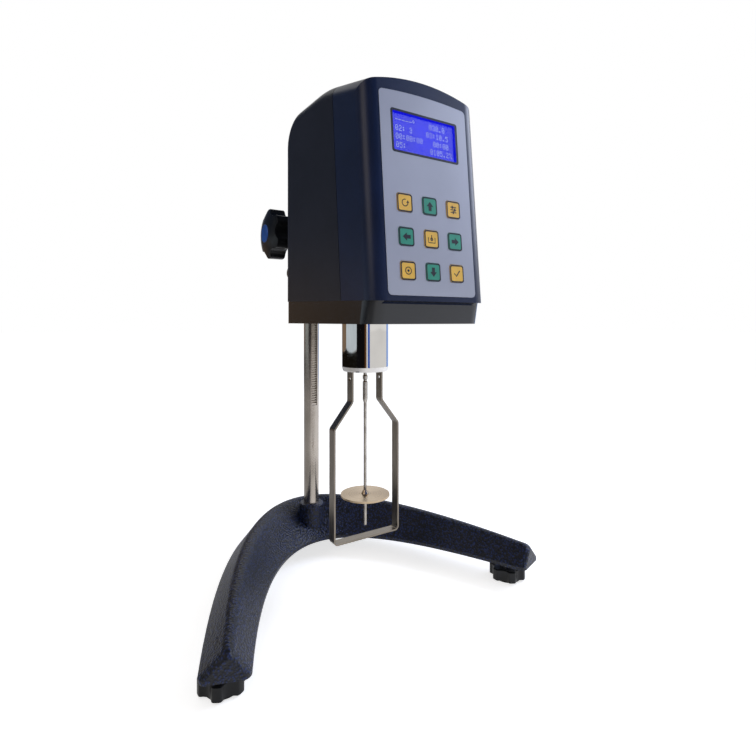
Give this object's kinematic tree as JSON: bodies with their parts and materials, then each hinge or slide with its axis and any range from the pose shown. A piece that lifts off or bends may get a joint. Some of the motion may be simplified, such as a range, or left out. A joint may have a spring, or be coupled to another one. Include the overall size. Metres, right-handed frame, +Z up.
{
  "type": "rotational viscometer",
  "caption": "Bench rotational viscometer: disc spindle in a guard under a display head that rises on a rack column over an arched levelling base.",
  "frame": {"origin": "centre of the footprint on the bench", "axes": "+Z up along the column, -Y towards the operator, +X to the operator's right"},
  "size_m": [0.319, 0.275, 0.449],
  "materials": {
    "hammered_navy_paint": "hammered paint on cast iron",
    "column_chrome": "ground and chromed",
    "zinc_steel": "zinc plated",
    "foot_rubber": "moulded",
    "knob_plastic": "moulded phenolic",
    "cap_blue": "moulded",
    "block_black": "powder coated aluminium",
    "bronze": "sintered",
    "ground_steel": "ground",
    "nickel_brass": "knurled, nickel plated",
    "shell_charcoal": "fine texture",
    "bezel_navy": "semi gloss",
    "cover_black": "gloss",
    "overlay_silver": "printed film",
    "window_acrylic": "clear",
    "lcd_blue": "backlit",
    "key_yellow": "printed film",
    "key_green": "printed film",
    "circuit_board": "glass epoxy",
    "chassis_steel": "zinc plated sheet",
    "housing_brass": "turned",
    "spring_bronze": "rolled strip",
    "encoder_steel": "etched",
    "stainless": "turned",
    "mirror_chrome": "polished"
  },
  "bodies": {
    "base": {"base_casting": "hammered_navy_paint", "column": "column_chrome", "column_bolt": "zinc_steel"},
    "foot_left_seat": {"foot_pad_left": "foot_rubber"},
    "foot_left": {"foot_knob_left": "knob_plastic", "foot_stud_left": "zinc_steel"},
    "foot_right_seat": {"foot_pad_right": "foot_rubber"},
    "foot_right": {"foot_knob_right": "knob_plastic", "foot_stud_right": "zinc_steel"},
    "foot_rear_seat": {"foot_pad_rear": "foot_rubber"},
    "foot_rear": {"foot_knob_rear": "knob_plastic", "foot_stud_rear": "zinc_steel"},
    "carriage": {"lift_block": "block_black", "lift_bushes": "bronze", "handle_rod": "ground_steel", "flange_screws": "zinc_steel", "front_bezel": "bezel_navy", "rear_shell": "shell_charcoal", "bottom_cover": "cover_black", "cover_screws": "zinc_steel", "panel_overlay": "overlay_silver", "lcd_window": "window_acrylic", "lcd_module": "lcd_blue", "keypad_board": "circuit_board", "chassis": "chassis_steel", "bearing_housing": "housing_brass", "main_bearings": "ground_steel", "top_plate": "chassis_steel", "standoffs": "chassis_steel", "drive_motor": "chassis_steel", "chrome_sleeve": "mirror_chrome", "guard": "stainless", "guard_screws": "zinc_steel", "level_ring": "mirror_chrome", "level_vial": "window_acrylic", "power_jack": "cover_black", "switch_housing": "cover_black", "main_board": "circuit_board"},
    "lift_knob": {"pinion_shaft": "ground_steel", "lift_knob": "knob_plastic", "knob_cap": "cap_blue"},
    "thumb_screw": {"thumb_screw": "nickel_brass"},
    "drive": {"drive_gear": "housing_brass"},
    "motor_rotor": {"motor_pinion": "ground_steel"},
    "measuring": {"measuring_shaft": "ground_steel", "encoder_disc": "encoder_steel", "hairspring": "spring_bronze", "spindle_coupling": "stainless", "spindle_shaft": "stainless", "spindle_disc": "stainless"},
    "key_1_1": {"key_1_1": "key_yellow"},
    "key_1_2": {"key_1_2": "key_green"},
    "key_1_3": {"key_1_3": "key_yellow"},
    "key_2_1": {"key_2_1": "key_green"},
    "key_2_2": {"key_2_2": "key_yellow"},
    "key_2_3": {"key_2_3": "key_green"},
    "key_3_1": {"key_3_1": "key_yellow"},
    "key_3_2": {"key_3_2": "key_green"},
    "key_3_3": {"key_3_3": "key_yellow"},
    "power_rocker": {"power_rocker": "cover_black"}
  },
  "joints": [
    {"name": "head_lift", "type": "slide", "parent": "base", "child": "carriage", "axis": [0, 0, 1], "range_m": [-0.055, 0.065]},
    {"name": "lift_knob_turn", "type": "hinge", "parent": "carriage", "child": "lift_knob", "pos_m": [0, 0.06232, 0.34], "axis": [1, 0, 0], "range_deg": [-670, 570]},
    {"name": "thumb_screw_turn", "type": "hinge", "parent": "carriage", "child": "thumb_screw", "pos_m": [0, 0.05552, 0.301], "axis": [1, 0, 0], "range_deg": [-720, 0]},
    {"name": "drive_spin", "type": "hinge", "parent": "carriage", "child": "drive", "pos_m": [0, -0.03888, 0.287], "axis": [0, 0, 1], "continuous": true},
    {"name": "motor_spin", "type": "hinge", "parent": "carriage", "child": "motor_rotor", "pos_m": [0, -0.06888, 0.287], "axis": [0, 0, 1], "continuous": true},
    {"name": "deflection", "type": "hinge", "parent": "drive", "child": "measuring", "pos_m": [0, -0.03888, 0.297], "axis": [0, 0, 1], "range_deg": [-5, 85], "stiffness_Nm_per_rad": 0.0005},
    {"name": "key_1_1_press", "type": "slide", "parent": "carriage", "child": "key_1_1", "axis": [0, 0.9963, -0.0859], "range_m": [0, 0.0005], "stiffness_N_per_m": 400},
    {"name": "key_1_2_press", "type": "slide", "parent": "carriage", "child": "key_1_2", "axis": [0, 0.9963, -0.0859], "range_m": [0, 0.0005], "stiffness_N_per_m": 400},
    {"name": "key_1_3_press", "type": "slide", "parent": "carriage", "child": "key_1_3", "axis": [0, 0.9963, -0.0859], "range_m": [0, 0.0005], "stiffness_N_per_m": 400},
    {"name": "key_2_1_press", "type": "slide", "parent": "carriage", "child": "key_2_1", "axis": [0, 0.9963, -0.0859], "range_m": [0, 0.0005], "stiffness_N_per_m": 400},
    {"name": "key_2_2_press", "type": "slide", "parent": "carriage", "child": "key_2_2", "axis": [0, 0.9963, -0.0859], "range_m": [0, 0.0005], "stiffness_N_per_m": 400},
    {"name": "key_2_3_press", "type": "slide", "parent": "carriage", "child": "key_2_3", "axis": [0, 0.9963, -0.0859], "range_m": [0, 0.0005], "stiffness_N_per_m": 400},
    {"name": "key_3_1_press", "type": "slide", "parent": "carriage", "child": "key_3_1", "axis": [0, 0.9963, -0.0859], "range_m": [0, 0.0005], "stiffness_N_per_m": 400},
    {"name": "key_3_2_press", "type": "slide", "parent": "carriage", "child": "key_3_2", "axis": [0, 0.9963, -0.0859], "range_m": [0, 0.0005], "stiffness_N_per_m": 400},
    {"name": "key_3_3_press", "type": "slide", "parent": "carriage", "child": "key_3_3", "axis": [0, 0.9963, -0.0859], "range_m": [0, 0.0005], "stiffness_N_per_m": 400},
    {"name": "power_rocker_tilt", "type": "hinge", "parent": "carriage", "child": "power_rocker", "pos_m": [0.032, 0.02092, 0.306], "axis": [1, 0, 0], "range_deg": [0, 16]},
    {"name": "foot_left_height", "type": "slide", "parent": "base", "child": "foot_left_seat", "axis": [0, 0, 1], "range_m": [-0.005, 0.00075]},
    {"name": "foot_left_turn", "type": "hinge", "parent": "foot_left_seat", "child": "foot_left", "pos_m": [-0.139, -0.07928, 0], "axis": [0, 0, 1], "range_deg": [-1450, 226]},
    {"name": "foot_right_height", "type": "slide", "parent": "base", "child": "foot_right_seat", "axis": [0, 0, 1], "range_m": [-0.005, 0.00075]},
    {"name": "foot_right_turn", "type": "hinge", "parent": "foot_right_seat", "child": "foot_right", "pos_m": [0.139, -0.07928, 0], "axis": [0, 0, 1], "range_deg": [-1450, 226]},
    {"name": "foot_rear_height", "type": "slide", "parent": "base", "child": "foot_rear_seat", "axis": [0, 0, 1], "range_m": [-0.005, 0.00075]},
    {"name": "foot_rear_turn", "type": "hinge", "parent": "foot_rear_seat", "child": "foot_rear", "pos_m": [0, 0.11152, 0], "axis": [0, 0, 1], "range_deg": [-1450, 226]}
  ],
  "couplings": [
    {"joint": "lift_knob_turn", "follows": "head_lift", "rad_per_m": -178.57},
    {"joint": "motor_spin", "follows": "drive_spin", "ratio": -4},
    {"joint": "foot_left_turn", "follows": "foot_left_height", "rad_per_m": 5026.5},
    {"joint": "foot_right_turn", "follows": "foot_right_height", "rad_per_m": 5026.5},
    {"joint": "foot_rear_turn", "follows": "foot_rear_height", "rad_per_m": 5026.5}
  ]
}
